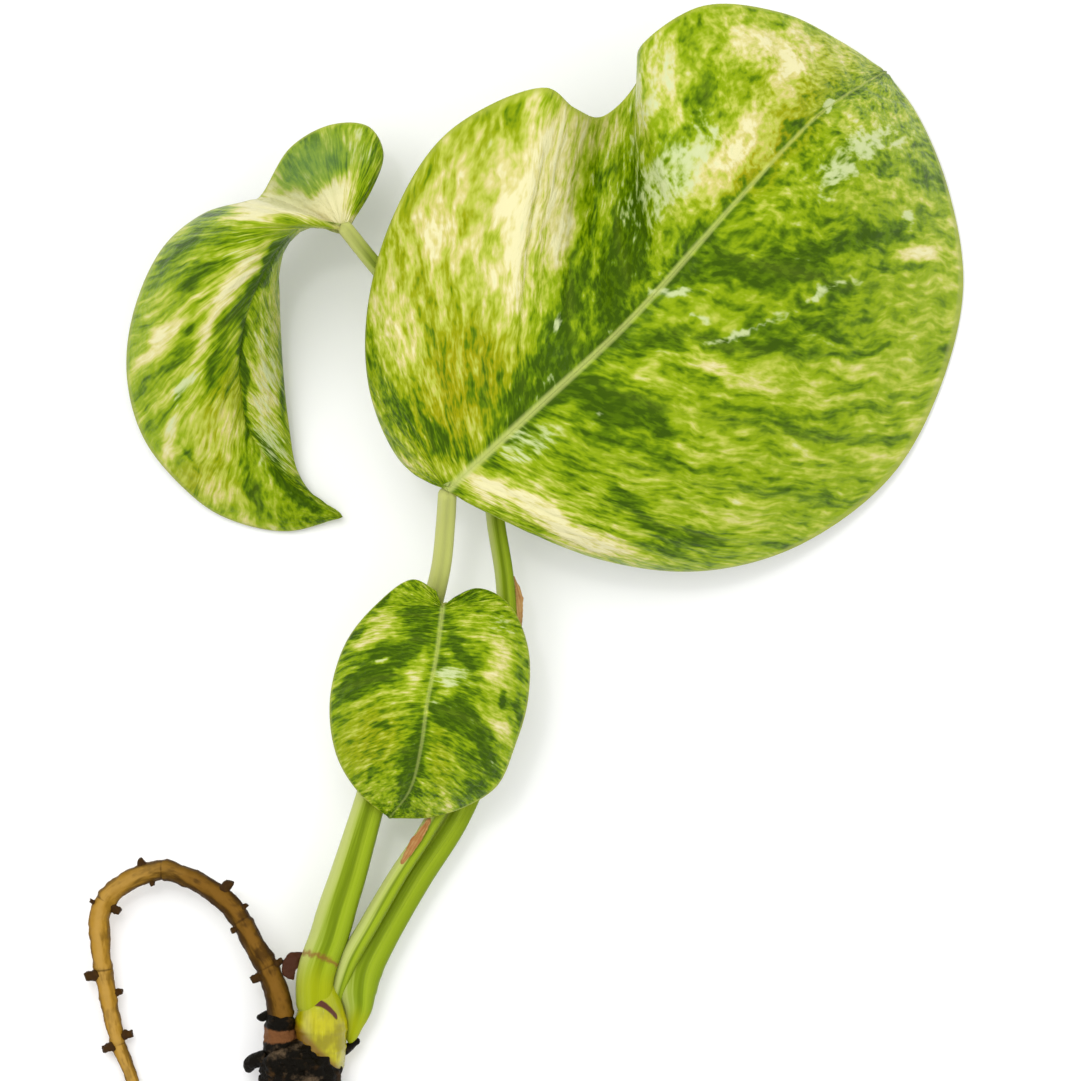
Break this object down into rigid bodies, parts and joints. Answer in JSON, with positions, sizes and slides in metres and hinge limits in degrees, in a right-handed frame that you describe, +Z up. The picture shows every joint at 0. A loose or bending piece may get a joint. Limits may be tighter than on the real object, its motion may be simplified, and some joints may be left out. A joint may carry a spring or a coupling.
{
  "type": "variegated pothos cutting",
  "caption": "Bare-rooted pothos cutting with marbled heart-shaped leaves, a short stem and a looping aerial root, lying on a flat surface.",
  "frame": {"origin": "middle of the bottom of the whole cutting's box, on the surface that it lies on", "axes": "+Z up from the surface, +Y from the cut end of the stem towards the leaves, +X to the right seen from above"},
  "size_m": [0.1408, 0.1824, 0.0383],
  "materials": {
    "leaf_blade": "satin, marbled in cream, yellow-green and dark green",
    "leaf_stalk": "satin",
    "stem_skin": "glossy",
    "dead_stem": "rough, damp in places",
    "root_bark": "matt",
    "dry_sheath": "matt"
  },
  "bodies": {
    "root": {"blade_large_leaf": "leaf_blade", "blade_curled_leaf": "leaf_blade", "blade_small_leaf": "leaf_blade", "stalk_large_leaf": "leaf_stalk", "stalk_curled_leaf": "leaf_stalk", "stalk_small_leaf": "leaf_stalk", "stem": "stem_skin", "old_stem_end": "dead_stem", "aerial_root": "root_bark", "thin_root": "dead_stem", "sheath_edge": "dry_sheath", "sheath_tip": "dry_sheath", "sheath_flap": "dry_sheath"}
  },
  "joints": []
}
